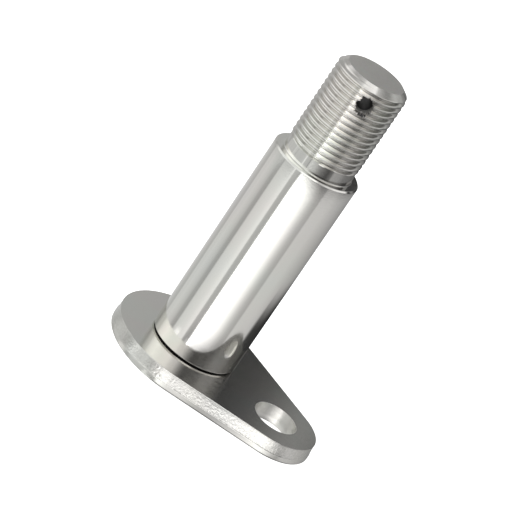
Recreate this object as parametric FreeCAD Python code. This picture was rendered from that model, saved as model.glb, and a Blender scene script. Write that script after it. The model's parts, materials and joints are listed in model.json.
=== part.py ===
import FreeCAD, Part
import math
import os

# Tie rod pin: a turned pin with a threaded end, seated in a punched keeper flag and welded at the back.
# Millimetres. The pin's axis is Z, the flag's back face lies at Z = 0 and its tip points along +X.

# Flag plate
flag_thickness = 4.5
lobe_radius = 19.75
tip_radius = 11.0
tip_reach = 26.5
keeper_hole_radius = 5.5
shear_band = 1.5
shear_flare = 0.25
back_edge_break = 0.4
front_edge_break = 0.12
hole_edge_break = 0.3

# Pin
barrel_radius = 11.0
barrel_length = 55.0
foot_chamfer = 0.6
rim_chamfer = 0.35
spigot_radius = 8.0
spigot_clearance = 0.05
neck_radius = 8.75
neck_length = 3.0
neck_root_bevel = 0.5

# Thread, M18 x 1.5, right hand
thread_major_radius = 9.0
thread_pitch = 1.5
thread_length = 22.0
point_chamfer_height = 1.3
point_chamfer_width = 1.8
first_groove_drop = 1.71

# Cross hole for the cotter pin
cotter_hole_radius = 2.0
cotter_hole_from_end = 4.9
cotter_hole_azimuth = -60.0

# Weld in the groove between the spigot and the flag's bore
weld_leg = 2.0

# Values that follow from the ones above
bore_radius = spigot_radius + spigot_clearance
shoulder_z = flag_thickness + barrel_length
neck_top_z = shoulder_z + neck_length
end_z = neck_top_z + thread_length
end_radius = thread_major_radius - point_chamfer_width

# Proportions of the rolled thread: sixty degree flanks, a crest that stays flat over a quarter of the pitch,
# and a sharp root at the depth where the flanks meet
flank_slope = math.tan(math.radians(30.0))
crest_flat = thread_pitch / 4.0
thread_depth = (thread_pitch - crest_flat) / (2.0 * flank_slope)
thread_root_radius = thread_major_radius - thread_depth

ORIGIN = FreeCAD.Vector(0, 0, 0)
AXIS = FreeCAD.Vector(0, 0, 1)


def at(x, y, z):
    return FreeCAD.Vector(x, y, z)


def line(start, end):
    return Part.LineSegment(start, end).toShape()


def revolve(half_section):
    """A solid of revolution about the pin's axis, from the (radius, height) corners of its half section."""
    corners = [at(radius, 0, height) for radius, height in half_section]
    outline = Part.makePolygon(corners + corners[:1])
    return Part.Face(outline).revolve(ORIGIN, AXIS, 360.0)


def teardrop(grow, height):
    """The flag's outline at a height: two round ends and the lines that touch both, grown by an offset."""
    lobe = lobe_radius + grow
    tip = tip_radius + grow
    lean = math.acos((lobe_radius - tip_radius) / tip_reach)
    cos_lean = math.cos(lean)
    sin_lean = math.sin(lean)
    lobe_upper = at(lobe * cos_lean, lobe * sin_lean, height)
    lobe_lower = at(lobe * cos_lean, -lobe * sin_lean, height)
    tip_upper = at(tip_reach + tip * cos_lean, tip * sin_lean, height)
    tip_lower = at(tip_reach + tip * cos_lean, -tip * sin_lean, height)
    lobe_arc = Part.Arc(lobe_upper, at(-lobe, 0, height), lobe_lower).toShape()
    tip_arc = Part.Arc(tip_lower, at(tip_reach + tip, 0, height), tip_upper).toShape()
    return Part.Wire([lobe_arc, line(lobe_lower, tip_lower), tip_arc, line(tip_upper, lobe_upper)])


def rim_edges(shape, height):
    """The edges that lie flat at a height."""
    return [edge for edge in shape.Edges
            if abs(edge.BoundBox.ZMin - height) < 1e-4 and abs(edge.BoundBox.ZMax - height) < 1e-4]


def make_flag_plate():
    """Punched plate: a smooth sheared band, and above it a torn face that leans in to the front."""
    band = Part.Face(teardrop(shear_flare, 0)).extrude(at(0, 0, shear_band))
    band = band.makeChamfer(back_edge_break, rim_edges(band, 0))
    torn = Part.makeLoft([teardrop(shear_flare, shear_band), teardrop(0, flag_thickness)], True, True)
    torn = torn.makeChamfer(front_edge_break, rim_edges(torn, flag_thickness))
    plate = band.fuse(torn)

    weld_prep = revolve([(0, 0), (bore_radius + weld_leg, 0), (bore_radius, weld_leg),
                         (bore_radius, flag_thickness), (0, flag_thickness)])
    hole = Part.makeCylinder(keeper_hole_radius, flag_thickness, at(tip_reach, 0, 0))
    plate = plate.cut(weld_prep).cut(hole)

    hole_rims = [edge for height in (0, flag_thickness) for edge in rim_edges(plate, height)
                 if edge.Curve.TypeId == "Part::GeomCircle"
                 and abs(edge.Curve.Radius - keeper_hole_radius) < 1e-4
                 and abs(edge.Curve.Center.x - tip_reach) < 1e-4]
    return plate.makeChamfer(hole_edge_break, hole_rims).removeSplitter()


def make_thread_groove():
    """The helical groove of the thread, from the neck's top to past the pin's end."""
    turns_below = math.ceil((end_z - first_groove_drop - neck_top_z) / thread_pitch) + 1
    start_z = end_z - first_groove_drop - turns_below * thread_pitch
    run = (turns_below + 2) * thread_pitch
    path = Part.Wire(Part.makeLongHelix(thread_pitch, run, thread_major_radius, 0, False).Edges)

    mouth_radius = thread_major_radius + crest_flat / 4.0
    half_mouth = (mouth_radius - thread_root_radius) * flank_slope
    root = at(thread_root_radius, 0, 0)
    mouth = [at(mouth_radius, 0, -half_mouth), at(mouth_radius, 0, half_mouth)]
    profile = Part.makePolygon([root] + mouth + [root])
    groove = path.makePipeShell([profile], True, True)
    groove.translate(at(0, 0, start_z))

    span_radius = mouth_radius + thread_pitch
    threaded_span = Part.makeCylinder(span_radius, thread_length + thread_pitch, at(0, 0, neck_top_z))
    return groove.common(threaded_span)


def make_threaded_pin():
    """Turned pin: spigot, barrel, shoulder, neck and thread, with the cross hole near its end."""
    spigot = [(0, 0), (spigot_radius - weld_leg, 0), (spigot_radius, weld_leg),
              (spigot_radius, flag_thickness)]
    barrel = [(barrel_radius - foot_chamfer, flag_thickness), (barrel_radius, flag_thickness + foot_chamfer),
              (barrel_radius, shoulder_z - rim_chamfer), (barrel_radius - rim_chamfer, shoulder_z)]
    neck = [(neck_radius + neck_root_bevel, shoulder_z), (neck_radius, shoulder_z + neck_root_bevel),
            (neck_radius, neck_top_z)]
    threaded_end = [(thread_major_radius, neck_top_z), (thread_major_radius, end_z - point_chamfer_height),
                    (end_radius, end_z), (0, end_z)]
    pin = revolve(spigot + barrel + neck + threaded_end).cut(make_thread_groove())

    azimuth = math.radians(cotter_hole_azimuth)
    direction = at(math.cos(azimuth), math.sin(azimuth), 0)
    reach = thread_major_radius + thread_pitch
    start = direction * -reach + at(0, 0, end_z - cotter_hole_from_end)
    return pin.cut(Part.makeCylinder(cotter_hole_radius, 2.0 * reach, start, direction))


def make_back_weld():
    """Weld metal, ground flush with the back: a ring between the spigot's chamfer and the flag's bore."""
    return revolve([(spigot_radius - weld_leg, 0), (bore_radius + weld_leg, 0),
                    (bore_radius, weld_leg), (spigot_radius, weld_leg)])


PIECES = {
    "threaded_pin": make_threaded_pin,
    "flag_plate": make_flag_plate,
    "back_weld": make_back_weld,
}

os.makedirs("parts", exist_ok=True)
for name, make in PIECES.items():
    shape = make()
    shape.exportStep(f"parts/{name}.step")
    print(f"{name}: {len(shape.Solids)} solid, {shape.Volume:.1f} mm3, valid {shape.isValid()}")
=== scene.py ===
import json
import math

import bmesh
import bpy
from bpy.props import FloatProperty, FloatVectorProperty, IntProperty, PointerProperty
from bpy.types import NodeSocket, Operator, Panel, PropertyGroup
from mathutils import Matrix, Quaternion, Vector, noise


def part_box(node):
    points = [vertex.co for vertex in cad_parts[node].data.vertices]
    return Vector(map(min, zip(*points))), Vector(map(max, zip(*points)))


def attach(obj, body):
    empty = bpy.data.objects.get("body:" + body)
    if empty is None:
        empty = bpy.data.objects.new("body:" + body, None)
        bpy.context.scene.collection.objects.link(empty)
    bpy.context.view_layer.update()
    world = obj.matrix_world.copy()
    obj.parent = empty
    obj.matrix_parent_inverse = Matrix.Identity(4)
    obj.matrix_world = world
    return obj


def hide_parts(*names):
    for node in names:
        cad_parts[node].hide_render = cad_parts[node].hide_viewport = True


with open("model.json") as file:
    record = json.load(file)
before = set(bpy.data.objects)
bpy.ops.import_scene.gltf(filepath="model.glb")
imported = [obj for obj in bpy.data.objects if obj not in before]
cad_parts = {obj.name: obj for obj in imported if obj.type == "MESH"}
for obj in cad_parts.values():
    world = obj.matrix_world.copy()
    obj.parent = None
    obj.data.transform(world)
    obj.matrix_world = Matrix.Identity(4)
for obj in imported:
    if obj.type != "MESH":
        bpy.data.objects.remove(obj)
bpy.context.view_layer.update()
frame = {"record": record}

bl_info = {
    "name": "Tie rod pin",
    "version": (1, 0, 0),
    "blender": (4, 5, 0),
    "location": "View3D > Sidebar > Tie rod pin",
    "description": "A zinc plated threaded pin welded into a punched keeper flag, and a plain studio for it",
    "category": "Object",
}

MM = 0.001
AXIS = Vector((0.0, 0.0, 1.0))
CENTRE = Vector((0.0, 0.0, 0.0))

# Points closer than the first are merged, heights closer than the second count as level
MERGED = 0.002 * MM
LEVEL = 0.01 * MM

# Edges that bend by more than this are drawn sharp
TURNED_EDGE = math.radians(38.0)
PUNCHED_EDGE = math.radians(50.0)
PLAIN_EDGE = math.radians(30.0)

# Places and sizes that come from the frame
PIN_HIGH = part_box("threaded_pin")[1]
FLAG_LOW, FLAG_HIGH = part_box("flag_plate")
WELD_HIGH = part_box("back_weld")[1]
MOUNTS = {mount["name"]: mount for mount in frame["record"]["mounts"]}
BARREL_RADIUS = MOUNTS["barrel"]["dims"]["r_mm"] * MM
BARREL_MIDDLE = MOUNTS["barrel"]["pos_m"][2]
BARREL_LENGTH = MOUNTS["barrel"]["dims"]["length_mm"] * MM
THREAD_BOTTOM = 2.0 * MOUNTS["threaded_end"]["pos_m"][2] - PIN_HIGH.z
COTTER = MOUNTS["cotter_hole"]
COTTER_RADIUS = COTTER["dims"]["r_mm"] * MM
KEEPER = MOUNTS["keeper_hole"]
KEEPER_X = KEEPER["pos_m"][0]
KEEPER_PLACE = Vector((KEEPER_X, 0.0, 0.0))
KEEPER_RADIUS = KEEPER["dims"]["r_mm"] * MM

# Zones of the pin and of the flag, in the order of their finishes
PIN_ZONES = ("barrel", "thread", "end_face", "point", "neck", "foot_gap", "drilled_wall", "drilled_mouth",
             "shoulder")
FLAG_ZONES = ("face", "torn_edge", "smooth_band", "hole_wall")

# Places in half a pitch, from a groove's middle towards a crest's, close together where the thread's form bends
THREAD_STATIONS = (0.0, 0.06, 0.13, 0.20, 0.27, 0.34, 0.67, 0.72, 0.77, 0.82, 0.88, 0.94)
FLANK_STEEPNESS = 1.0 / math.tan(math.radians(30.0))

# Rounding where the thread runs out into the neck and into the point
NECK_BLEND = 0.1 * MM
POINT_BLEND = 0.16 * MM

# The cross hole's mouth: depths of its light part, torn part, cracked lip and rim, the chips round the hole and in
# a metre of depth, and how far they and the broken lower lip widen it
MOUTH_DEPTH = 3.2 * MM
TORN_DEPTH = 1.4 * MM
CRACK_DEPTH = 0.5 * MM
RIM_DEPTH = 0.1 * MM
CHIPS_ROUND = 6.5
CHIPS_DEEP = 900.0
RAGGEDNESS = 0.46
LIP_FLARE = 0.30

# Rows of faces up the flag's edge, the torn zone's hollow, and the wave and the grain of its lower border
ROLLED_ROWS = 5
TORN_ROWS = 22
TORN_HOLLOW = 0.08 * MM
BORDER_WAVE = 0.10 * MM
BORDER_GRAIN = 900.0

# Facets round the flag's holes
HOLE_SEGMENTS = 128


def length(name, description, default):
    """A setting that is a length in metres."""
    return FloatProperty(name=name, description=description, default=default, unit="LENGTH")


class PinSizes(PropertyGroup):
    """Sizes of the turned and threaded pin."""
    foot_chamfer: length("Foot chamfer", "Chamfer at the barrel's foot, above the flag",
                         BARREL_MIDDLE - BARREL_LENGTH / 2.0 - FLAG_HIGH.z)
    rim_chamfer: length("Rim chamfer", "Chamfer round the barrel's shoulder", 0.35 * MM)
    edge_round: length("Edge rounding", "Rounding of the turned edges", 0.10 * MM)
    spigot_radius: length("Spigot radius", "Radius of the end seated in the flag", 8.0 * MM)
    neck_radius: length("Neck radius", "Radius of the neck under the thread", 8.75 * MM)
    neck_round: length("Neck rounding", "Rounding at the neck's root", 0.25 * MM)
    neck_taper: length("Neck taper", "How much wider the neck is at its root", 0.10 * MM)
    thread_radius: length("Thread radius", "Radius over the thread's crests", 9.0 * MM)
    thread_pitch: length("Thread pitch", "Rise of the thread in one turn", 1.5 * MM)
    thread_depth: length("Thread depth", "Depth from crest to root", 0.86 * MM)
    crest_flat: length("Crest flat", "Width of the thread's crest before rounding", 0.27 * MM)
    crest_round: length("Crest rounding", "Blend between a crest and its flanks", 0.17 * MM)
    root_round: length("Root rounding", "Blend at the bottom of a groove", 0.20 * MM)
    first_groove_drop: length(
        "First groove", "Depth of the first groove below the pin's end, on the X axis", 1.71 * MM)
    point_height: length("Point height", "Height of the chamfer at the threaded end", 1.3 * MM)
    point_radius: length("Point radius", "Radius of the end face, inside the chamfer", 7.2 * MM)
    steps: IntProperty(name="Steps in a turn", description="Facets round the pin", default=192, min=48, max=256)


class FlagSizes(PropertyGroup):
    """Sizes of the punched keeper flag."""
    tip_radius: length("Tip radius", "Radius of the flag's small end", 11.0 * MM)
    shear_band: length("Sheared band", "Height of the smooth band at the back", 1.45 * MM)
    shear_flare: length("Flare", "How far the band stands out past the front face", 0.25 * MM)
    rolled_edge: length("Rolled edge", "Radius of the back edge", 0.45 * MM)
    front_break: length("Front edge", "Rounding of the front edge", 0.10 * MM)
    hole_break: length("Hole edge", "Rounding of the keeper hole's rims", 0.14 * MM)
    tear_depth: length("Tear depth", "Depth of the grain in the torn zone", 0.026 * MM)
    tear_grain: length("Tear grain", "Size of the grain in the torn zone", 0.29 * MM)
    spacing: length("Edge spacing", "Distance between points along the edge", 0.14 * MM)


class ZincColours(PropertyGroup):
    """Colours of the plated surfaces."""
    pin: FloatVectorProperty(
        name="Pin", description="Bright plating on the pin", default=(0.805, 0.80, 0.778), subtype="COLOR",
        min=0.0, max=1.0)
    flag: FloatVectorProperty(
        name="Flag", description="Satin plating on the flag", default=(0.722, 0.72, 0.698), subtype="COLOR",
        min=0.0, max=1.0)
    weld: FloatVectorProperty(
        name="Weld", description="Plating on the ground weld", default=(0.62, 0.62, 0.61), subtype="COLOR",
        min=0.0, max=1.0)


class StudioSettings(PropertyGroup):
    """Camera and lamps of the plain studio."""
    camera_azimuth: FloatProperty(
        name="Camera azimuth", description="Direction of the camera from the pin, from the X axis",
        default=math.radians(-71.954), subtype="ANGLE")
    camera_elevation: FloatProperty(
        name="Camera elevation", description="Height angle of the camera", default=math.radians(22.597),
        subtype="ANGLE")
    camera_roll: FloatProperty(
        name="Camera roll", description="Turn of the camera about its own view", default=math.radians(34.106),
        subtype="ANGLE")
    camera_distance: length("Camera distance", "Distance from the aim point", 604.0 * MM)
    aim: FloatVectorProperty(
        name="Aim point", description="Point in the middle of the picture",
        default=(1.725 * MM, 0.0, 31.891 * MM), subtype="TRANSLATION", unit="LENGTH")
    lens: FloatProperty(
        name="Lens", description="Focal length in millimetres, on a 36 mm wide picture", default=181.575)
    key_power: FloatProperty(
        name="Key lamp", description="Power of the lamp at the upper left", default=2.0, unit="POWER")
    fill_power: FloatProperty(
        name="Fill lamp", description="Power of the weak lamp at the right", default=1.0, unit="POWER")


def settings():
    return bpy.context.scene.tie_rod_pin


def heading(angle):
    """The level direction at an angle from the X axis."""
    return Vector((math.cos(angle), math.sin(angle), 0.0))


def soft_min(first, second, blend):
    """The smaller of two lengths, with the corner between them rounded over a blend."""
    overlap = max(blend - abs(first - second), 0.0) / blend
    return min(first, second) - overlap * overlap * blend / 4.0


def soft_max(first, second, blend):
    """The larger of two lengths, with the corner rounded in the same way."""
    return -soft_min(-first, -second, blend)


def rounded_section(corners, pieces=4):
    """Points of a half section in the XZ plane, from (radius, height, rounding) corners.

    A point beside each rounding keeps the straight parts' shading straight."""
    points = []
    for index, (radius, height, rounding) in enumerate(corners):
        corner = Vector((radius, 0.0, height))
        if rounding <= 0.0:
            points.append(corner)
            continue
        before = Vector((corners[index - 1][0], 0.0, corners[index - 1][1])) - corner
        after = Vector((corners[index + 1][0], 0.0, corners[index + 1][1])) - corner
        half_turn = before.angle(after) / 2.0
        setback = rounding / math.tan(half_turn)
        start = corner + before.normalized() * setback
        end = corner + after.normalized() * setback
        if before.length > 3.0 * setback:
            points.append(corner + before.normalized() * 1.5 * setback)
        for step in range(pieces + 1):
            share = step / pieces
            points.append((1 - share) ** 2 * start + 2 * share * (1 - share) * corner + share ** 2 * end)
        if after.length > 3.0 * setback:
            points.append(corner + after.normalized() * 1.5 * setback)
    return points


def add_path(mesh, points):
    """Joins points by edges and returns them as geometry for a spin."""
    verts = [mesh.verts.new(point) for point in points]
    edges = [mesh.edges.new(pair) for pair in zip(verts, verts[1:])]
    return verts + edges


def spin_round(mesh, points, steps):
    """Turns a half section once round the pin's axis."""
    bmesh.ops.spin(mesh, geom=add_path(mesh, points), cent=CENTRE, axis=AXIS, dvec=CENTRE,
                   angle=2.0 * math.pi, steps=steps, use_merge=True, use_duplicate=False)


def finish_object(mesh, name, finishes, smooth_angle, flat=()):
    """Makes the object of a finished mesh, smooth but for the faces whose finish is among the flat ones."""
    data = bpy.data.meshes.new(name)
    mesh.to_mesh(data)
    mesh.free()
    for finish in finishes:
        data.materials.append(finish)
    data.set_sharp_from_angle(angle=smooth_angle)
    for face in data.polygons:
        face.use_smooth = face.material_index not in flat
    piece = bpy.data.objects.new(name, data)
    bpy.context.scene.collection.objects.link(piece)
    return piece


def extrude_ring(mesh, edges):
    """Grows a row of faces from a ring of edges; returns the new ring's points and edges."""
    grown = bmesh.ops.extrude_edge_only(mesh, edges=edges)["geom"]
    ring = [item for item in grown if isinstance(item, bmesh.types.BMVert)]
    fresh = set(ring)
    return ring, [item for item in grown if isinstance(item, bmesh.types.BMEdge) and fresh.issuperset(item.verts)]


def merge_doubles(mesh):
    """Merges what coincides and points the faces outwards."""
    bmesh.ops.remove_doubles(mesh, verts=mesh.verts, dist=MERGED)
    bmesh.ops.recalc_face_normals(mesh, faces=mesh.faces)
    mesh.normal_update()


def new_material(name):
    """A new material and its empty node tree."""
    material = bpy.data.materials.new(name)
    material.use_nodes = True
    material.node_tree.nodes.clear()
    return material, material.node_tree


def plain_grey(level):
    """A grey as a colour with its alpha."""
    return (level, level, level, 1.0)


def add_node(tree, kind, inputs=None, **options):
    """Adds a shader node; its inputs are given by name or number, as values or as other nodes' outputs."""
    node = tree.nodes.new("ShaderNode" + kind)
    for option, value in options.items():
        setattr(node, option, value)
    for key, value in (inputs or {}).items():
        if isinstance(value, NodeSocket):
            tree.links.new(value, node.inputs[key])
        else:
            node.inputs[key].default_value = value
    return node


def math_node(tree, operation, first, second=0.0, third=0.0):
    return add_node(tree, "Math", {0: first, 1: second, 2: third}, operation=operation).outputs[0]


def grain(tree, place, stretch, detail=2.0, roughness=0.5):
    """Noise from 0 to 1 whose grain has the given size along each axis, in millimetres."""
    scale = tuple(1.0 / (size * MM) for size in stretch)
    mapped = add_node(tree, "Mapping", {"Vector": place, "Scale": scale}).outputs[0]
    inputs = {"Vector": mapped, "Scale": 1.0, "Detail": detail, "Roughness": roughness}
    return add_node(tree, "TexNoise", inputs).outputs[0]


def ramp(tree, value, stops):
    """A colour ramp from (position, grey or colour) stops."""
    node = add_node(tree, "ValToRGB", {0: value})
    elements = node.color_ramp.elements
    elements.remove(elements[1])
    for number, (position, colour) in enumerate(stops):
        element = elements.new(position) if number else elements[0]
        element.position = position
        element.color = (*colour, 1.0) if isinstance(colour, tuple) else plain_grey(colour)
    return node.outputs[0]


def times(tree, first, second):
    """The product of two numbers."""
    return math_node(tree, "MULTIPLY", first, second)


def tinted(tree, first, second):
    """The product of two colours."""
    return add_node(tree, "Mix", {0: 1.0, 6: first, 7: second},
                    data_type="RGBA", blend_type="MULTIPLY").outputs[2]


# The plating's faint colours, as factors on its own colour
TINTS = [(0.25, (0.975, 1.0, 0.99)), (0.42, (0.99, 1.0, 0.97)), (0.52, (1.0, 0.985, 0.965)),
         (0.62, (1.0, 0.985, 0.98)), (0.78, (0.975, 1.0, 0.995))]


def zinc_finish(name, colour, roughness, relief, patch=14.0, mottle=0.0, brushed=0.0, metallic=1.0):
    """Zinc plating: a faintly tinted metal with fine relief, given as (grain size, height) layers in millimetres.

    Its tints change over patches. Where it is brushed, turning marks round the pin blur its reflections."""
    material, tree = new_material(name)
    place = add_node(tree, "TexCoord").outputs["Object"]
    tint = ramp(tree, grain(tree, place, (patch, patch, 1.6 * patch), 3.0), TINTS)
    base = tinted(tree, (*colour, 1.0), tint)
    if mottle > 0.0:
        spots = grain(tree, place, (0.5, 0.5, 0.5), 3.0, 0.6)
        base = tinted(tree, base, ramp(tree, spots, [(0.3, 1.0 - mottle), (0.7, 1.0)]))
    low, high = roughness
    marks = grain(tree, place, (1.6, 1.6, 0.14), 3.0, 0.7)
    gloss = add_node(tree, "MapRange", {0: marks, 1: 0.35, 2: 0.65, 3: low, 4: high}).outputs[0]
    height = None
    for size, depth in relief:
        layer = times(tree, grain(tree, place, size), depth * MM)
        height = layer if height is None else math_node(tree, "ADD", height, layer)
    bump = add_node(tree, "Bump", {"Strength": 1.0, "Distance": 1.0, "Height": height}).outputs[0]
    inputs = {"Base Color": base, "Metallic": metallic, "Roughness": gloss, "Normal": bump}
    if brushed > 0.0:
        around = add_node(tree, "Tangent", direction_type="RADIAL", axis="Z").outputs[0]
        inputs.update({"Anisotropic": brushed, "Anisotropic Rotation": 0.25, "Tangent": around})
    shader = add_node(tree, "BsdfPrincipled", inputs)
    add_node(tree, "OutputMaterial", {"Surface": shader.outputs[0]})
    return material


class PIN_OT_threaded_pin(Operator):
    """Builds the turned pin with its rolled thread and drilled cross hole."""
    bl_idname = "tie_rod_pin.threaded_pin"
    bl_label = "Threaded pin"
    bl_options = {"REGISTER", "UNDO"}

    def execute(self, context):
        sizes = settings().pin
        mesh = bmesh.new()
        spin_round(mesh, self.body_section(sizes), sizes.steps)
        spin_round(mesh, self.end_section(sizes), sizes.steps)
        self.add_thread(mesh, sizes)
        merge_doubles(mesh)
        for face in mesh.faces:
            face.material_index = PIN_ZONES.index(self.zone(face, sizes))
        flat = [PIN_ZONES.index(zone) for zone in ("end_face", "shoulder")]
        piece = finish_object(mesh, "zinc_pin", self.finishes(), TURNED_EDGE, flat)
        self.drill(piece, sizes)
        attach(piece, "root")
        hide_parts("threaded_pin")
        return {"FINISHED"}

    def finishes(self):
        """The pin's finishes, in the order of its zones."""
        colour = tuple(settings().colours.pin)
        dull = tuple(0.84 * channel for channel in colour)
        return [
            zinc_finish("barrel_zinc", colour, (0.07, 0.12),
                        [((0.32, 0.32, 0.36), 0.002), ((5.0, 5.0, 40.0), 0.010)], brushed=0.3),
            zinc_finish("thread_zinc", colour, (0.08, 0.16), [((6.0, 6.0, 0.16), 0.001)], mottle=0.06),
            zinc_finish("end_face_zinc", dull, (0.40, 0.50), [((0.5, 2.5, 0.5), 0.012)], patch=2.5, mottle=0.10),
            zinc_finish("point_zinc", colour, (0.14, 0.20), [((3.0, 3.0, 0.12), 0.002)], brushed=0.6),
            zinc_finish("neck_zinc", colour, (0.06, 0.12), [((4.0, 4.0, 0.14), 0.001)], brushed=0.4),
            # The foot chamfer's near-black finish is painted shade in the crease where the barrel meets the flag
            zinc_finish("foot_gap", (0.03, 0.03, 0.03), (0.5, 0.6), [((0.3, 0.3, 0.3), 0.002)]),
            # The drilled wall's near-black colour is painted shade deep inside the cross hole
            zinc_finish("drilled_wall", (0.10, 0.10, 0.10), (0.30, 0.45), [((1.0, 1.0, 1.0), 0.02)], mottle=0.3),
            zinc_finish("drilled_mouth", (0.55, 0.55, 0.53), (0.35, 0.55), [((0.5, 0.5, 0.5), 0.03)],
                        mottle=0.4, metallic=0.3),
            zinc_finish("shoulder_zinc", colour, (0.08, 0.14), [((4.0, 4.0, 4.0), 0.002)]),
        ]

    def shoulder_height(self, sizes):
        return BARREL_MIDDLE + BARREL_LENGTH / 2.0 + sizes.rim_chamfer

    def body_section(self, sizes):
        """Half section from the middle of the spigot's end up to the neck's top.

        The last corner but one keeps the neck's shading straight below the thread."""
        foot = FLAG_HIGH.z
        shoulder = self.shoulder_height(sizes)
        leg = WELD_HIGH.z
        edge = sizes.edge_round
        corners = [
            (0.0, 0.0, 0.0),
            (sizes.spigot_radius - leg, 0.0, 0.0),
            (sizes.spigot_radius, leg, 0.0),
            (sizes.spigot_radius, foot, 0.0),
            (BARREL_RADIUS - sizes.foot_chamfer, foot, 0.0),
            (BARREL_RADIUS - sizes.foot_chamfer / 2.0, foot + sizes.foot_chamfer / 2.0, 0.0),
            (BARREL_RADIUS, foot + sizes.foot_chamfer, edge * 1.5),
            (BARREL_RADIUS, shoulder - sizes.rim_chamfer, edge),
            (BARREL_RADIUS - sizes.rim_chamfer, shoulder, edge),
            (sizes.neck_radius + sizes.neck_taper, shoulder, sizes.neck_round),
            (sizes.neck_radius + 0.07 * sizes.neck_taper, THREAD_BOTTOM - 2.0 * edge, 0.0),
            (sizes.neck_radius, THREAD_BOTTOM, 0.0),
        ]
        return rounded_section(corners)

    def end_section(self, sizes):
        """Half section of the pin's end face, from its rim to its middle."""
        edge = sizes.edge_round
        corners = [
            (self.point_at(edge, sizes), PIN_HIGH.z - edge, 0.0),
            (sizes.point_radius, PIN_HIGH.z, edge * 0.8),
            (sizes.point_radius * 0.5, PIN_HIGH.z, 0.0),
            (0.0, PIN_HIGH.z, 0.0),
        ]
        return rounded_section(corners)

    def point_at(self, below_end, sizes):
        """Radius of the end's chamfer at a depth below the end face."""
        lean = (sizes.thread_radius - sizes.point_radius) / sizes.point_height
        return sizes.point_radius + lean * below_end

    def thread_form(self, sizes, offset):
        """Radius of the thread at a height above a groove's middle."""
        from_groove = abs((offset + sizes.thread_pitch / 2.0) % sizes.thread_pitch - sizes.thread_pitch / 2.0)
        corner = (sizes.thread_pitch - sizes.crest_flat) / 2.0
        flank = sizes.thread_radius - (corner - from_groove) * FLANK_STEEPNESS
        root = sizes.thread_radius - sizes.thread_depth
        form = soft_max(flank, root, sizes.root_round)
        return soft_min(form, sizes.thread_radius, sizes.crest_round)

    def add_thread(self, mesh, sizes):
        """Winds one turn of the thread's form, stacks its turns and trims them to the neck and the point."""
        pitch = sizes.thread_pitch
        first = PIN_HIGH.z - sizes.first_groove_drop
        below = math.ceil((first - THREAD_BOTTOM) / pitch) + 1
        half = pitch / 2.0
        offsets = [share * half for share in THREAD_STATIONS] + [half]
        offsets += [pitch - offset for offset in reversed(offsets[:-1])]
        points = [Vector((1.0, 0.0, first - below * pitch + offset)) for offset in offsets]
        turn = bmesh.new()
        bmesh.ops.spin(turn, geom=add_path(turn, points), cent=CENTRE, axis=AXIS, dvec=AXIS * (pitch / sizes.steps),
                       angle=2.0 * math.pi, steps=sizes.steps, use_merge=False, use_duplicate=False)
        data = bpy.data.meshes.new("thread_turn")
        turn.to_mesh(data)
        turn.free()
        start = len(mesh.verts)
        for count in range(below + 2):
            before = len(mesh.verts)
            mesh.from_mesh(data)
            mesh.verts.ensure_lookup_table()
            bmesh.ops.translate(mesh, verts=mesh.verts[before:], vec=AXIS * (count * pitch))
        bpy.data.meshes.remove(data)
        for vert in mesh.verts[start:]:
            self.trim(vert, sizes, first)

    def trim(self, vert, sizes, first):
        """Sets a thread point's radius: the form, run out into the neck below and the chamfer above."""
        azimuth = math.atan2(vert.co.y, vert.co.x) % (2.0 * math.pi)
        quarter_step = 0.25 * math.pi / sizes.steps
        if azimuth > 2.0 * math.pi - quarter_step:
            azimuth = 0.0
        height = vert.co.z
        offset = height - first - sizes.thread_pitch * azimuth / (2.0 * math.pi)
        above_neck = max(height - THREAD_BOTTOM, 0.0)
        below_end = max(PIN_HIGH.z - height, sizes.edge_round)
        radius = self.thread_form(sizes, offset)
        radius = soft_max(radius, sizes.neck_radius - 1.2 * above_neck, NECK_BLEND)
        radius = soft_min(radius, sizes.neck_radius + above_neck, NECK_BLEND)
        if below_end > sizes.edge_round:
            radius = soft_min(radius, self.point_at(below_end, sizes), POINT_BLEND)
        if above_neck <= 0.0:
            radius = sizes.neck_radius
            height = THREAD_BOTTOM
        if below_end <= sizes.edge_round:
            radius = self.point_at(sizes.edge_round, sizes)
            height = PIN_HIGH.z - sizes.edge_round
        vert.co = Vector((radius * math.cos(azimuth), radius * math.sin(azimuth), height))

    def zone(self, face, sizes):
        """The zone of the pin that a face lies in."""
        middle = face.calc_center_median()
        below_end = PIN_HIGH.z - middle.z
        if below_end < 0.4 * sizes.edge_round or middle.z < LEVEL:
            return "end_face"
        if below_end < sizes.point_height and middle.xy.length > self.point_at(below_end, sizes) - 0.05 * MM:
            return "point"
        if middle.z > THREAD_BOTTOM:
            return "thread"
        above_shoulder = middle.z - self.shoulder_height(sizes)
        if above_shoulder > LEVEL:
            return "neck"
        if above_shoulder > -LEVEL:
            return "shoulder"
        # The lower half of the foot chamfer takes the near-black painted shade
        if FLAG_HIGH.z < middle.z < FLAG_HIGH.z + sizes.foot_chamfer / 2.0:
            return "foot_gap"
        return "barrel"

    def drill(self, piece, sizes):
        """Cuts the cross hole through the finished pin."""
        cutter = self.make_cutter(sizes)
        tool = finish_object(cutter, "cross_drill", piece.data.materials[:], TURNED_EDGE)
        cut = piece.modifiers.new("Cross hole", "BOOLEAN")
        cut.operation = "DIFFERENCE"
        cut.solver = "EXACT"
        cut.object = tool
        graph = bpy.context.evaluated_depsgraph_get()
        drilled = bpy.data.meshes.new_from_object(piece.evaluated_get(graph), depsgraph=graph)
        piece.modifiers.clear()
        piece.data = drilled
        drilled.set_sharp_from_angle(angle=TURNED_EDGE)
        bpy.data.objects.remove(tool)

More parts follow.
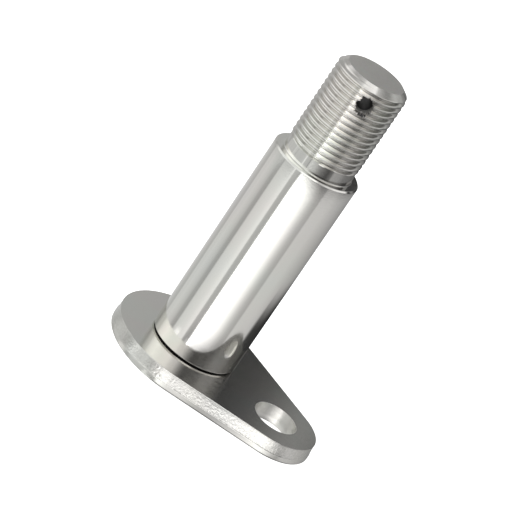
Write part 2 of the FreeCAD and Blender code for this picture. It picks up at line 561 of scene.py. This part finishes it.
    def make_cutter(self, sizes):
        """The cross hole's own shape: a round bar, ragged where the drill broke through the thread."""
        direction = Vector(COTTER["axis"]).normalized()
        surface = sizes.thread_radius
        inside = surface - MOUTH_DEPTH
        torn = surface - TORN_DEPTH
        torn_middle = (surface + torn) / 2.0
        reach = surface + 1.0 * MM
        cutter = bmesh.new()
        bmesh.ops.create_circle(cutter, cap_ends=True, radius=COTTER_RADIUS, segments=120,
                                matrix=Matrix.Translation(AXIS * -reach))
        edges = list(cutter.edges)
        for station in (-surface, -torn_middle, -torn, -inside, inside, torn, torn_middle, surface, reach):
            ring, edges = extrude_ring(cutter, edges)
            for vert in ring:
                vert.co.z = station
        bmesh.ops.holes_fill(cutter, edges=edges)
        for vert in cutter.verts:
            share = max(abs(vert.co.z) - torn, 0.0) / (reach - torn)
            if share > 0.0:
                factor = self.widening(vert.co, share, direction, sizes)
                vert.co.x *= factor
                vert.co.y *= factor
        for face in cutter.faces:
            face.material_index = PIN_ZONES.index(self.drilled_zone(face, direction, sizes))
        turn = AXIS.rotation_difference(direction).to_matrix().to_4x4()
        place = Matrix.Translation(Vector(COTTER["pos_m"])) @ turn
        bmesh.ops.transform(cutter, matrix=place, verts=cutter.verts)
        bmesh.ops.recalc_face_normals(cutter, faces=cutter.faces)
        return cutter

    def widening(self, place, share, direction, sizes):
        """How many times wider the hole is at a place of its ragged mouth; its lower lip is broken out."""
        around = place.xy.normalized()
        ragged = noise.noise(Vector((CHIPS_ROUND * around.x, CHIPS_ROUND * around.y, place.z * CHIPS_DEEP)))
        lip = 0.0
        if abs(place.z) > sizes.thread_radius - RIM_DEPTH:
            lip = LIP_FLARE * max(around.dot(direction.xy), 0.0) ** 2
        return 1.0 + min(1.0, 2.5 * share) * (RAGGEDNESS * ragged - 0.02) + lip

    def drilled_zone(self, face, direction, sizes):
        """The zone of the hole that a face of the cutter makes: its cracked lip gets the same near-black painted
        shade as its inside.
        """
        middle = face.calc_center_median()
        depth = sizes.thread_radius - abs(middle.z)
        cracked = depth < CRACK_DEPTH and middle.xy.dot(direction.xy) > 0.4 * COTTER_RADIUS
        return "drilled_mouth" if depth < MOUTH_DEPTH and not cracked else "drilled_wall"


class PIN_OT_flag_plate(Operator):
    """Builds the punched keeper flag with its sheared and torn edge."""
    bl_idname = "tie_rod_pin.flag_plate"
    bl_label = "Flag plate"
    bl_options = {"REGISTER", "UNDO"}

    def execute(self, context):
        sizes = settings().flag
        self.lobe_radius = -FLAG_LOW.x - sizes.shear_flare
        self.lean = math.acos((self.lobe_radius - sizes.tip_radius) / KEEPER_X)
        mesh = bmesh.new()
        back, front = self.add_edge(mesh, sizes)
        hole_back, hole_front = self.add_hole(mesh, sizes)
        bore_back, bore_front = self.add_bore(mesh)
        for edges in (back + hole_back + bore_back, front + hole_front + bore_front):
            bmesh.ops.triangle_fill(mesh, use_beauty=True, use_dissolve=False, edges=edges)
        merge_doubles(mesh)
        for face in mesh.faces:
            face.material_index = FLAG_ZONES.index(self.zone(face, sizes))
        piece = finish_object(mesh, "zinc_flag", self.finishes(), PUNCHED_EDGE, [FLAG_ZONES.index("face")])
        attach(piece, "root")
        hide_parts("flag_plate")
        return {"FINISHED"}

    def finishes(self):
        """The flag's finishes, in the order of its zones."""
        colour = tuple(settings().colours.flag)
        return [
            zinc_finish("flag_face_zinc", colour, (0.12, 0.16), [((6.0, 6.0, 6.0), 0.004)]),
            zinc_finish("flag_edge_zinc", colour, (0.16, 0.26), [((0.18, 0.18, 0.18), 0.016)], mottle=0.12),
            zinc_finish("flag_band_zinc", colour, (0.14, 0.24), [((0.16, 0.16, 2.5), 0.002)], mottle=0.04),
            zinc_finish("hole_wall_zinc", colour, (0.34, 0.44), [((1.0, 1.0, 0.2), 0.006)]),
        ]

    def outline(self, sizes):
        """Points round the flag's front outline: the lobe's arc, two tangent lines and the tip's arc."""
        lean = self.lean
        normal = heading(-lean)
        start = self.lobe_radius * normal
        end = KEEPER_PLACE + sizes.tip_radius * normal
        mirror = Vector((1.0, -1.0, 1.0))
        count = round(KEEPER_X * math.sin(lean) / sizes.spacing)
        points = self.arc(CENTRE, self.lobe_radius, lean, 2.0 * (math.pi - lean), sizes)
        points += [start.lerp(end, step / count) for step in range(count)]
        points += self.arc(KEEPER_PLACE, sizes.tip_radius, -lean, 2.0 * lean, sizes)
        points += [(end * mirror).lerp(start * mirror, step / count) for step in range(count)]
        return points

    def arc(self, centre, radius, start, sweep, sizes):
        """Points along an arc but for its last one."""
        count = round(radius * sweep / sizes.spacing)
        return [centre + radius * heading(start + sweep * step / count) for step in range(count)]

    def outward(self, point):
        """The outline's outward direction beside a point of it."""
        from_tip = Vector((point.x - KEEPER_X, point.y, 0.0)).normalized()
        if abs(math.atan2(from_tip.y, from_tip.x)) <= self.lean:
            return from_tip
        if abs(math.atan2(point.y, point.x)) >= self.lean:
            return Vector((point.x, point.y, 0.0)).normalized()
        return heading(math.copysign(self.lean, point.y))

    def side_rows(self, sizes):
        """(height, growth, grain) of each row up the edge: rolled back, smooth band, torn zone, front."""
        rows = []
        for step in range(ROLLED_ROWS + 1):
            angle = math.radians(90.0) * step / ROLLED_ROWS
            rows.append((sizes.rolled_edge * (1.0 - math.cos(angle)),
                         sizes.shear_flare - sizes.rolled_edge * (1.0 - math.sin(angle)), 0.0))
        rows.extend((sizes.rolled_edge + (sizes.shear_band - sizes.rolled_edge) * share, sizes.shear_flare, 0.0)
                    for share in (0.25, 0.5, 0.75, 1.0))
        top = FLAG_HIGH.z - sizes.front_break
        for step in range(1, TORN_ROWS + 1):
            share = step / TORN_ROWS
            height = sizes.shear_band + (top - sizes.shear_band) * share
            growth = sizes.shear_flare * (1.0 - share) - TORN_HOLLOW * math.sqrt(math.sin(math.pi * share))
            rows.append((height, growth, min(1.0, 4.0 * (1.0 - share)) * min(1.0, 6.0 * share)))
        rows.append((FLAG_HIGH.z - 0.3 * sizes.front_break, -0.3 * sizes.front_break, 0.1))
        rows.append((FLAG_HIGH.z, -sizes.front_break, 0.0))
        return rows

    def add_edge(self, mesh, sizes):
        """The flag's side wall, row by row; returns its back and front rings of edges."""
        outline = self.outline(sizes)
        normals = [self.outward(point) for point in outline]
        station = mesh.verts.layers.int.new("station")
        ring = [mesh.verts.new(point) for point in outline]
        for number, vert in enumerate(ring):
            vert[station] = number
        edges = [mesh.edges.new(pair) for pair in zip(ring, ring[1:] + ring[:1])]
        back = edges
        for number, (height, growth, roughening) in enumerate(self.side_rows(sizes)):
            if number:
                ring, edges = extrude_ring(mesh, edges)
            for vert in ring:
                normal = normals[vert[station]]
                spot = outline[vert[station]] + normal * growth
                spot.z = height
                if roughening > 0.0:
                    spot += normal * (self.tear(spot, sizes) * roughening)
                vert.co = spot
        return back, edges

    def tear(self, at, sizes):
        """Depth of the torn surface at a point."""
        grain_place = at / sizes.tear_grain
        coarse = noise.noise(grain_place * 0.45)
        fine = noise.noise(grain_place + Vector((7.0, 3.0, 5.0)))
        return sizes.tear_depth * (0.7 * coarse + fine - 0.35)

    def add_ring_wall(self, mesh, centre, section):
        """A round wall from (radius, height) pairs; returns its first and last rings of edges."""
        first = bmesh.ops.create_circle(mesh, cap_ends=False, radius=section[0][0], segments=HOLE_SEGMENTS,
                                        matrix=Matrix.Translation(centre + AXIS * section[0][1]))
        edges = list({edge for vert in first["verts"] for edge in vert.link_edges})
        start = edges
        for (radius, height), (old_radius, _) in zip(section[1:], section):
            ring, edges = extrude_ring(mesh, edges)
            for vert in ring:
                across = (vert.co - centre) * (radius / old_radius)
                vert.co = Vector((centre.x + across.x, centre.y + across.y, height))
        return start, edges

    def add_hole(self, mesh, sizes):
        """The keeper hole's wall with its rounded rims, a little wider where it is torn."""
        radius = KEEPER_RADIUS
        edge = sizes.hole_break
        top = FLAG_HIGH.z
        section = [(radius + edge, 0.0), (radius + 0.35 * edge, 0.25 * edge), (radius, edge),
                   (radius, top * 0.35), (radius + 0.02 * MM, top * 0.37), (radius + 0.05 * MM, top * 0.7),
                   (radius + 0.06 * MM, top - edge), (radius + 0.4 * edge, top - 0.3 * edge),
                   (radius + edge, top)]
        return self.add_ring_wall(mesh, KEEPER_PLACE, section)

    def add_bore(self, mesh):
        """The bore that takes the pin's spigot, opened out at the back for the weld."""
        outer = WELD_HIGH.x
        bore = outer - WELD_HIGH.z
        section = [(outer, 0.0), (bore, WELD_HIGH.z), (bore, FLAG_HIGH.z)]
        return self.add_ring_wall(mesh, CENTRE, section)

    def zone(self, face, sizes):
        """The zone of the flag that a face lies in."""
        middle = face.calc_center_median()
        if abs(face.normal.z) > 0.9:
            return "face"
        if (middle - KEEPER_PLACE).xy.length < KEEPER_RADIUS + sizes.hole_break:
            return "hole_wall"
        border = sizes.shear_band + BORDER_WAVE * noise.noise(middle * BORDER_GRAIN)
        return "torn_edge" if middle.z > border else "smooth_band"


class PIN_OT_back_weld(Operator):
    """Builds the ring of weld metal, ground flush with the flag's back."""
    bl_idname = "tie_rod_pin.back_weld"
    bl_label = "Back weld"
    bl_options = {"REGISTER", "UNDO"}

    def execute(self, context):
        leg = WELD_HIGH.z
        outer = WELD_HIGH.x
        spigot = settings().pin.spigot_radius
        mesh = bmesh.new()
        section = [(spigot - leg, 0.0, 0.0), (outer, 0.0, 0.0), (outer - leg, leg, 0.0), (spigot, leg, 0.0),
                   (spigot - leg, 0.0, 0.0)]
        spin_round(mesh, rounded_section(section), settings().pin.steps)
        merge_doubles(mesh)
        colour = tuple(settings().colours.weld)
        finish = zinc_finish("weld_zinc", colour, (0.28, 0.45), [((6.0, 0.12, 1.0), 0.004)], mottle=0.15)
        piece = finish_object(mesh, "zinc_weld", [finish], PLAIN_EDGE)
        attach(piece, "root")
        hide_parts("back_weld")
        return {"FINISHED"}


# What the metal sees of the studio, as (place, brightness) stops up to LIGHT_TOP. The table, the walls and what lies
# steeply below go round the pin by azimuth in degrees, the ceiling goes from the left of the view (-1) to its right
LIGHT_TOP = 4.0
TABLE_LOOK = [
    (-180, 0.74), (-166, 0.67), (-158, 0.60), (-153, 0.47), (-143, 0.40), (-141, 0.74), (-120, 0.84),
    (-106, 1.00), (-104, 0.54), (-91, 0.48), (-87, 4.0), (-74, 2.4), (-56, 1.7), (-44, 1.25), (-33, 0.80),
    (-24, 0.56), (-14, 0.46), (-12, 0.69), (16, 0.66), (40, 0.54), (64, 0.41), (84, 0.31), (104, 0.40),
    (112, 0.72), (136, 0.63), (152, 0.56), (163, 0.50), (165, 0.70),
]
WALL_LOOK = [
    (-180, 0.98), (-169, 1.30), (-153, 1.50), (-129, 1.28), (-105, 1.25), (-96, 1.05), (-84, 0.90), (-76, 0.55),
    (-68, 0.25), (-58, 0.07), (-32, 0.03), (-16, 0.11), (-4, 0.22), (20, 0.20), (40, 0.07), (80, 0.03),
    (108, 0.25), (140, 0.40), (158, 0.54), (170, 0.78),
]
CEILING_BACK_LOOK = [
    (-1.0, 0.70), (-0.64, 1.00), (-0.56, 0.90), (-0.48, 0.44), (-0.36, 0.42), (-0.24, 0.60), (-0.15, 0.74),
    (-0.10, 1.35), (0.22, 1.35), (0.27, 0.50), (0.38, 0.38), (0.44, 0.26), (0.52, 0.20), (0.58, 0.60),
    (0.66, 0.95), (0.90, 0.95), (1.0, 0.60),
]
CEILING_MIDDLE_LOOK = [
    (-1.0, 0.80), (-0.50, 0.90), (-0.30, 0.25), (0.20, 0.18), (0.32, 0.40), (0.50, 0.80), (1.0, 0.80),
]
CEILING_FRONT_LOOK = [(-1.0, 0.90), (-0.24, 0.95), (-0.19, 1.30), (0.24, 1.25), (0.32, 0.60), (1.0, 0.80)]
BELOW_LOOK = [
    (-180, 0.45), (-168, 0.63), (-150, 1.00), (-128, 1.05), (-108, 0.95), (-88, 0.90), (-68, 0.95), (-48, 0.40),
    (-28, 0.12), (-8, 0.27), (12, 0.20), (72, 0.15), (110, 0.20), (170, 0.30),
]

# Share of that light on the table close to the flag and far from the pin, as (azimuth, share), with their borders
SHARE_TOP = 5.0
CLOSE_BORDER = (30.0 * MM, 34.0 * MM)
FAR_BORDER = (160.0 * MM, 167.0 * MM)
CLOSE_SHARE_LOOK = [
    (-125, 1.0), (-120, 1.5), (-114, 1.6), (-110, 1.1), (-106, 1.0), (-93, 1.0), (-91, 1.7), (-85, 1.7),
    (-82, 0.85), (-62, 0.80), (-50, 0.50), (-40, 0.50), (-20, 1.0),
]
FAR_SHARE_LOOK = [
    (-170, 0.85), (-155, 1.00), (-152, 1.50), (-143, 1.50), (-140, 0.85), (-128, 0.75), (-109, 0.65), (-105, 1.1),
    (-92, 1.1), (-90, 0.30), (-87, 0.18), (-70, 0.26), (-48, 0.14), (-28, 0.12), (-18, 0.32), (-8, 0.55),
    (12, 0.50), (32, 0.35), (72, 0.40), (108, 0.45), (150, 0.85),
]

# Where one look passes into the next, by the height of a direction, and for the ceiling also by its part to the front
TABLE_STEP = (-0.68, -0.56)
WALL_STEP = (-0.06, 0.03)
CEILING_STEP = (0.44, 0.52)
CEILING_MIDDLE_STEP = (-0.02, 0.06)
CEILING_FRONT_STEP = (0.14, 0.24)
CEILING_FRONT_RISE = (0.60, 0.78)

# How far the pin's shadow reaches over the table, as (azimuth, tenths of a metre), its soft border and its light,
# and the dimming of the table in front of the flag
SHADOW_REACH_LOOK = [
    (16, 0.08), (21, 0.36), (26, 0.52), (33, 0.69), (48, 0.68), (81, 0.78), (96, 0.85), (108, 0.05),
]
SHADOW_BORDER = (-22.0 * MM, 17.0 * MM)
SHADOW_LIGHT = 0.10
FRONT_LOOK = [(-104, 0.0), (-84, 1.0), (-30, 1.0), (-10, 0.0)]
FRONT_BORDER = (30.0 * MM, 46.0 * MM)
FRONT_DIMMING = 0.40

# The grey card behind the pin: half sizes, place and the X that its greys go from and to, in metres
CARD_HALF_SIZES = (0.25, 0.20)
CARD_PLACE = (-0.15, 0.17, 0.205)
CARD_SPAN = (-0.15, 0.05)
CARD_LOOK = [
    (0.0, 0.50), (0.42, 0.46), (0.48, 0.10), (0.505, 0.04), (0.57, 0.055), (0.613, 0.10), (0.633, 0.15),
    (0.68, 0.27), (0.70, 0.27), (0.78, 0.05),
]
CORNER_GREY = 0.25
TOP_GREY = 0.42

# The floor: half its side in metres, its own light and its grey
FLOOR_HALF_SIDE = 1.5
FLOOR_LIGHT = 0.86
FLOOR_GREY = 0.8


def round_ramp(tree, turn, look, top=1.0):
    """A ramp over a share of a turn, from (azimuth in degrees, level) stops, as shares of a top level."""
    return ramp(tree, turn, [((azimuth + 180.0) / 360.0, level / top) for azimuth, level in look])


def turn_round(tree, place):
    """Direction round the Z axis of a point or a ray, as a share of a turn, and its three parts."""
    parts = add_node(tree, "SeparateXYZ", {0: place}).outputs
    azimuth = math_node(tree, "ARCTAN2", parts[1], parts[0])
    turn = math_node(tree, "ADD", math_node(tree, "DIVIDE", azimuth, 2.0 * math.pi), 0.5)
    return math_node(tree, "FRACT", turn), parts


def step_up(tree, value, border, bottom=0.0, top=1.0):
    """A soft step from a bottom to a top, where a value passes the (low, high) border."""
    return add_node(tree, "MapRange", {0: value, 1: border[0], 2: border[1], 3: bottom, 4: top},
                    interpolation_type="SMOOTHSTEP").outputs[0]


def blend(tree, share, first, second):
    return add_node(tree, "Mix", {0: share, 6: first, 7: second}, data_type="RGBA").outputs[2]


class PIN_OT_studio(Operator):
    """Sets up the pale floor, the soft lamps, the surroundings and the camera."""
    bl_idname = "tie_rod_pin.studio"
    bl_label = "Studio"
    bl_options = {"REGISTER", "UNDO"}

    def execute(self, context):
        self.add_floor()
        self.add_back_card()
        self.add_lamps()
        self.add_world(context.scene)
        self.add_camera(context.scene)
        context.scene.view_settings.view_transform = "Standard"
        return {"FINISHED"}

    def add_floor(self):
        """A pale floor: white to the camera, and to the metal the studio's table with its lights and greys."""
        mesh = bmesh.new()
        bmesh.ops.create_grid(mesh, x_segments=1, y_segments=1, size=FLOOR_HALF_SIDE)
        material, tree = new_material("pale_floor")
        place = add_node(tree, "TexCoord").outputs["Object"]
        seen = add_node(tree, "BsdfTransparent", {"Color": self.table_shade(tree, place)}).outputs[0]
        rays = add_node(tree, "LightPath")
        plain = add_node(tree, "Emission", {"Color": plain_grey(1.0), "Strength": FLOOR_LIGHT}).outputs[0]
        lit = add_node(tree, "BsdfDiffuse", {"Color": plain_grey(FLOOR_GREY)}).outputs[0]
        camera_side = add_node(tree, "AddShader", {0: plain, 1: lit}).outputs[0]
        other = add_node(tree, "MixShader", {0: rays.outputs["Is Glossy Ray"], 1: lit, 2: seen}).outputs[0]
        surface = add_node(tree, "MixShader",
                           {0: rays.outputs["Is Camera Ray"], 1: other, 2: camera_side}).outputs[0]
        add_node(tree, "OutputMaterial", {"Surface": surface})
        floor = finish_object(mesh, "pale_floor", [material], PLAIN_EDGE)

    def table_shade(self, tree, place):
        """Share of the studio's light on the table: less in the pin's shadow, and in front close to the flag."""
        turn, parts = turn_round(tree, place)
        flat = add_node(tree, "CombineXYZ", {0: parts[0], 1: parts[1]}).outputs[0]
        distance = add_node(tree, "VectorMath", {0: flat}, operation="LENGTH").outputs["Value"]
        reach = times(tree, round_ramp(tree, turn, SHADOW_REACH_LOOK), 100.0 * MM)
        past_shadow = math_node(tree, "SUBTRACT", distance, reach)
        lit = step_up(tree, past_shadow, SHADOW_BORDER, SHADOW_LIGHT)
        in_front = round_ramp(tree, turn, FRONT_LOOK)
        near_flag = step_up(tree, distance, FRONT_BORDER, 1.0, 0.0)
        dimmed = times(tree, in_front, near_flag)
        lit = times(tree, lit, math_node(tree, "MULTIPLY_ADD", dimmed, -FRONT_DIMMING, 1.0))
        close, far = [round_ramp(tree, turn, look, SHARE_TOP) for look in (CLOSE_SHARE_LOOK, FAR_SHARE_LOOK)]
        share = blend(tree, step_up(tree, distance, CLOSE_BORDER), close, plain_grey(1.0 / SHARE_TOP))
        share = blend(tree, step_up(tree, distance, FAR_BORDER), share, far)
        lit = times(tree, times(tree, lit, SHARE_TOP), share)
        return add_node(tree, "CombineColor", {0: lit, 1: lit, 2: lit}).outputs[0]

    def add_back_card(self):
        """A grey card behind the pin, seen only in the metal: pale at one end and dark at the other."""
        mesh = bmesh.new()
        bmesh.ops.create_grid(mesh, x_segments=1, y_segments=1, size=1.0,
                              matrix=Matrix.Diagonal((*CARD_HALF_SIZES, 1.0, 1.0)))
        bmesh.ops.rotate(mesh, verts=mesh.verts, cent=CENTRE, matrix=Matrix.Rotation(math.radians(90.0), 3, "X"))
        bmesh.ops.translate(mesh, verts=mesh.verts, vec=CARD_PLACE)
        material, tree = new_material("grey_card")
        place = add_node(tree, "TexCoord").outputs["Object"]
        side, _, height = add_node(tree, "SeparateXYZ", {0: place}).outputs
        across = add_node(tree, "MapRange",
                          {0: side, 1: CARD_SPAN[0], 2: CARD_SPAN[1], 3: 0.0, 4: 1.0}).outputs[0]
        corner = times(tree, step_up(tree, side, (-0.01, 0.01)), step_up(tree, height, (0.090, 0.120)))
        grey = blend(tree, corner, ramp(tree, across, CARD_LOOK), plain_grey(CORNER_GREY))
        grey = blend(tree, step_up(tree, height, (0.145, 0.155)), grey, plain_grey(TOP_GREY))
        seen = add_node(tree, "Emission", {"Color": grey, "Strength": 1.0}).outputs[0]
        add_node(tree, "OutputMaterial", {"Surface": seen})
        card = finish_object(mesh, "grey_card", [material], PLAIN_EDGE)
        card.visible_camera = False
        card.visible_diffuse = False
        card.visible_shadow = False

    def add_lamps(self):
        """Two soft lamps: the key from the upper left and a weak fill from the right."""
        studio = settings().studio
        for name, spot, size, power in (("key", Vector((-0.55, -0.30, 0.60)), 0.8, studio.key_power),
                                        ("fill", Vector((0.50, -0.60, 0.70)), 0.6, studio.fill_power)):
            lamp = bpy.data.lights.new(name, "AREA")
            lamp.shape = "SQUARE"
            lamp.size = size
            lamp.energy = power
            holder = bpy.data.objects.new(name, lamp)
            holder.location = spot
            holder.rotation_euler = (-spot).to_track_quat("-Z", "Y").to_euler()
            holder.visible_glossy = False
            bpy.context.scene.collection.objects.link(holder)

    def add_world(self, scene):
        """A white room to the camera; to the metal, the studio's walls, its soft lights and its ceiling."""
        world = bpy.data.worlds.new("studio")
        world.use_nodes = True
        tree = world.node_tree
        tree.nodes.clear()
        direction = add_node(tree, "TexCoord").outputs["Generated"]
        turn, parts = turn_round(tree, direction)
        azimuth = settings().studio.camera_azimuth
        to_side = Vector((-math.sin(azimuth), math.cos(azimuth), 0.0))
        side, front = [add_node(tree, "VectorMath", {0: direction, 1: way}, operation="DOT_PRODUCT").outputs["Value"]
                       for way in (to_side, heading(azimuth))]
        across = math_node(tree, "MULTIPLY_ADD", side, 0.5, 0.5)
        ceilings = [ramp(tree, across, [((place + 1.0) / 2.0, level / LIGHT_TOP) for place, level in look])
                    for look in (CEILING_BACK_LOOK, CEILING_MIDDLE_LOOK, CEILING_FRONT_LOOK)]
        below, table, walls = [round_ramp(tree, turn, look, LIGHT_TOP)
                               for look in (BELOW_LOOK, TABLE_LOOK, WALL_LOOK)]
        height = parts[2]
        ceiling = blend(tree, step_up(tree, front, CEILING_MIDDLE_STEP), *ceilings[:2])
        in_front = times(tree, step_up(tree, front, CEILING_FRONT_STEP), step_up(tree, height, CEILING_FRONT_RISE))
        ceiling = blend(tree, in_front, ceiling, ceilings[2])
        grey = blend(tree, step_up(tree, height, TABLE_STEP), below, table)
        grey = blend(tree, step_up(tree, height, WALL_STEP), grey, walls)
        grey = blend(tree, step_up(tree, height, CEILING_STEP), grey, ceiling)
        rays = add_node(tree, "LightPath")
        colour = blend(tree, rays.outputs["Is Camera Ray"], grey, plain_grey(1.0 / LIGHT_TOP))
        background = add_node(tree, "Background", {"Color": colour, "Strength": LIGHT_TOP}).outputs[0]
        add_node(tree, "OutputWorld", {"Surface": background})
        scene.world = world

    def add_camera(self, scene):
        """The camera, turned to the aim point."""
        view = settings().studio
        flat = math.cos(view.camera_elevation)
        toward_camera = Vector((flat * math.cos(view.camera_azimuth), flat * math.sin(view.camera_azimuth),
                                math.sin(view.camera_elevation)))
        data = bpy.data.cameras.new("camera")
        data.lens = view.lens
        data.sensor_width = 36.0
        data.clip_start = 0.01
        camera = bpy.data.objects.new("camera", data)
        turn = (-toward_camera).to_track_quat("-Z", "Y") @ Quaternion((0.0, 0.0, 1.0), view.camera_roll)
        camera.matrix_world = (Matrix.Translation(Vector(view.aim) + toward_camera * view.camera_distance)
                               @ turn.to_matrix().to_4x4())
        scene.collection.objects.link(camera)
        scene.camera = camera


class TieRodPinSettings(PropertyGroup):
    """All settings of the tie rod pin."""
    pin: PointerProperty(type=PinSizes)
    flag: PointerProperty(type=FlagSizes)
    colours: PointerProperty(type=ZincColours)
    studio: PointerProperty(type=StudioSettings)


BUILDERS = (PIN_OT_threaded_pin, PIN_OT_flag_plate, PIN_OT_back_weld, PIN_OT_studio)


class VIEW3D_PT_tie_rod_pin(Panel):
    """Lists the pieces of the tie rod pin and the studio."""
    bl_idname = "VIEW3D_PT_tie_rod_pin"
    bl_label = "Tie rod pin"
    bl_space_type = "VIEW_3D"
    bl_region_type = "UI"
    bl_category = "Tie rod pin"

    def draw(self, context):
        for builder in BUILDERS:
            self.layout.operator(builder.bl_idname)


CLASSES = (PinSizes, FlagSizes, ZincColours, StudioSettings, TieRodPinSettings,
           *BUILDERS, VIEW3D_PT_tie_rod_pin)


def register():
    for cls in CLASSES:
        bpy.utils.register_class(cls)
    bpy.types.Scene.tie_rod_pin = PointerProperty(type=TieRodPinSettings)


def unregister():
    del bpy.types.Scene.tie_rod_pin
    for cls in reversed(CLASSES):
        bpy.utils.unregister_class(cls)


def main():
    register()
    bpy.ops.tie_rod_pin.threaded_pin()
    bpy.ops.tie_rod_pin.flag_plate()
    bpy.ops.tie_rod_pin.back_weld()
    bpy.ops.tie_rod_pin.studio()


if __name__ == "__main__":
    main()
